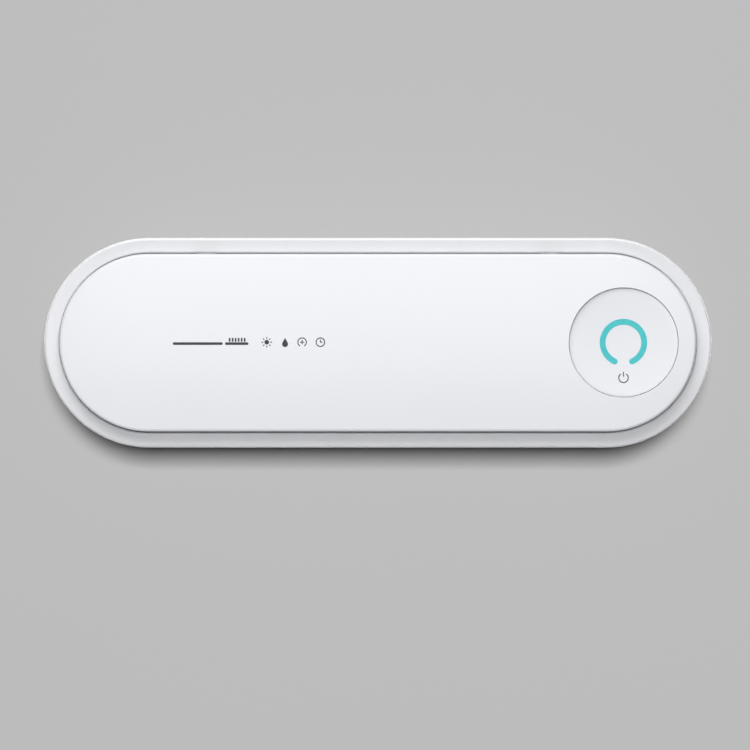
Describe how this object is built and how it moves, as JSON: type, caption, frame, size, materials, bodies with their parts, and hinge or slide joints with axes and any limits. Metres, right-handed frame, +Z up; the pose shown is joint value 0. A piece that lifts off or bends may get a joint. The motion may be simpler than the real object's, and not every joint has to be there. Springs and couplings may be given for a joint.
{
  "type": "toothbrush sanitizer",
  "caption": "Pill-shaped wall-hung toothbrush sanitizer with a flip-up front cover, a dished power button with a lit ring, and shuttered brush slots underneath.",
  "frame": {"origin": "on the wall plane, behind the middle of the pill", "axes": "+X to the right seen from the room, -Y out of the wall towards the room, +Z up"},
  "size_m": [0.213, 0.0427, 0.067],
  "materials": {
    "shell_white": "satin gloss",
    "button_white": "satin",
    "liner_white": "fine texture",
    "light_ring": "translucent, lit",
    "clear_window": "clear",
    "bracket_plastic": "fine texture",
    "pad_foam": "foam tape",
    "flap_grey": "satin",
    "silicone": "matt",
    "lead_white": "satin",
    "lamp_glass": "clear",
    "bright_aluminium": "bright rolled",
    "screw_steel": "zinc plated",
    "rod_steel": "polished",
    "spring_steel": "bright wire",
    "socket_steel": "bright",
    "magnet_nickel": "nickel plated",
    "board_green": "solder mask",
    "part_black": "moulded",
    "led_body": "diffused",
    "capacitor_sleeve": "shrink sleeve",
    "transformer_tape": "polyester tape",
    "connector_ivory": "moulded"
  },
  "bodies": {
    "wall_bracket": {"wall_bracket": "bracket_plastic", "adhesive_pads": "pad_foam"},
    "housing": {"rear_housing": "shell_white", "front_frame": "shell_white", "frame_screws": "screw_steel", "reflector": "bright_aluminium", "reflector_screws": "screw_steel", "uv_lamp": "lamp_glass", "lamp_boots": "silicone", "lamp_clips": "spring_steel", "lamp_lead_far": "lead_white", "lamp_lead_near": "lead_white", "brush_rack": "liner_white", "rack_screws": "screw_steel", "flap_rod": "rod_steel", "flap_springs": "spring_steel", "main_board": "board_green", "board_screws": "screw_steel", "tact_switch": "part_black", "status_leds": "led_body", "controller_chip": "part_black", "filter_capacitors": "capacitor_sleeve", "lamp_transformer": "transformer_tape", "lamp_connector": "connector_ivory", "hall_sensor": "part_black", "usb_socket": "socket_steel", "electronics_cover": "liner_white", "electronics_screws": "screw_steel", "led_window": "clear_window", "plunger_boot": "silicone", "frame_magnets": "magnet_nickel", "hinge_pins": "rod_steel"},
    "cover": {"front_cover": "shell_white", "inner_panel": "liner_white", "panel_screws": "screw_steel", "cover_magnets": "magnet_nickel", "sensor_magnet": "magnet_nickel", "button_retainer": "liner_white", "button_spring": "spring_steel"},
    "button": {"power_button": "button_white", "ring_lens": "light_ring"},
    "switch": {"switch_plunger": "liner_white"},
    "flap_1": {"flap_1": "flap_grey"},
    "flap_2": {"flap_2": "flap_grey"},
    "flap_3": {"flap_3": "flap_grey"},
    "flap_4": {"flap_4": "flap_grey"},
    "flap_5": {"flap_5": "flap_grey"}
  },
  "joints": [
    {"name": "lift_off", "type": "slide", "parent": "wall_bracket", "child": "housing", "axis": [0, 0, 1], "range_m": [0, 0.007]},
    {"name": "cover_swing", "type": "hinge", "parent": "housing", "child": "cover", "pos_m": [0, -0.0381, 0.0254], "axis": [-1, 0, 0], "range_deg": [0, 80]},
    {"name": "button_press", "type": "slide", "parent": "cover", "child": "button", "axis": [0, 1, 0], "range_m": [0, 0.0008], "stiffness_N_per_m": 400, "springref_m": -0.002},
    {"name": "switch_press", "type": "slide", "parent": "housing", "child": "switch", "axis": [0, 1, 0], "range_m": [0, 0.0008], "stiffness_N_per_m": 200, "springref_m": -0.001},
    {"name": "flap_1_lift", "type": "hinge", "parent": "housing", "child": "flap_1", "pos_m": [-0.06, -0.0086, -0.0274], "axis": [-1, 0, 0], "range_deg": [0, 70], "stiffness_Nm_per_rad": 0.0006, "springref_deg": -22.92},
    {"name": "flap_2_lift", "type": "hinge", "parent": "housing", "child": "flap_2", "pos_m": [-0.035, -0.0086, -0.0274], "axis": [-1, 0, 0], "range_deg": [0, 70], "stiffness_Nm_per_rad": 0.0006, "springref_deg": -22.92},
    {"name": "flap_3_lift", "type": "hinge", "parent": "housing", "child": "flap_3", "pos_m": [-0.01, -0.0086, -0.0274], "axis": [-1, 0, 0], "range_deg": [0, 70], "stiffness_Nm_per_rad": 0.0006, "springref_deg": -22.92},
    {"name": "flap_4_lift", "type": "hinge", "parent": "housing", "child": "flap_4", "pos_m": [0.015, -0.0086, -0.0274], "axis": [-1, 0, 0], "range_deg": [0, 70], "stiffness_Nm_per_rad": 0.0006, "springref_deg": -22.92},
    {"name": "flap_5_lift", "type": "hinge", "parent": "housing", "child": "flap_5", "pos_m": [0.04, -0.0086, -0.0274], "axis": [-1, 0, 0], "range_deg": [0, 70], "stiffness_Nm_per_rad": 0.0006, "springref_deg": -22.92}
  ],
  "couplings": [
    {"joint": "switch_press", "follows": "button_press", "ratio": 1}
  ]
}
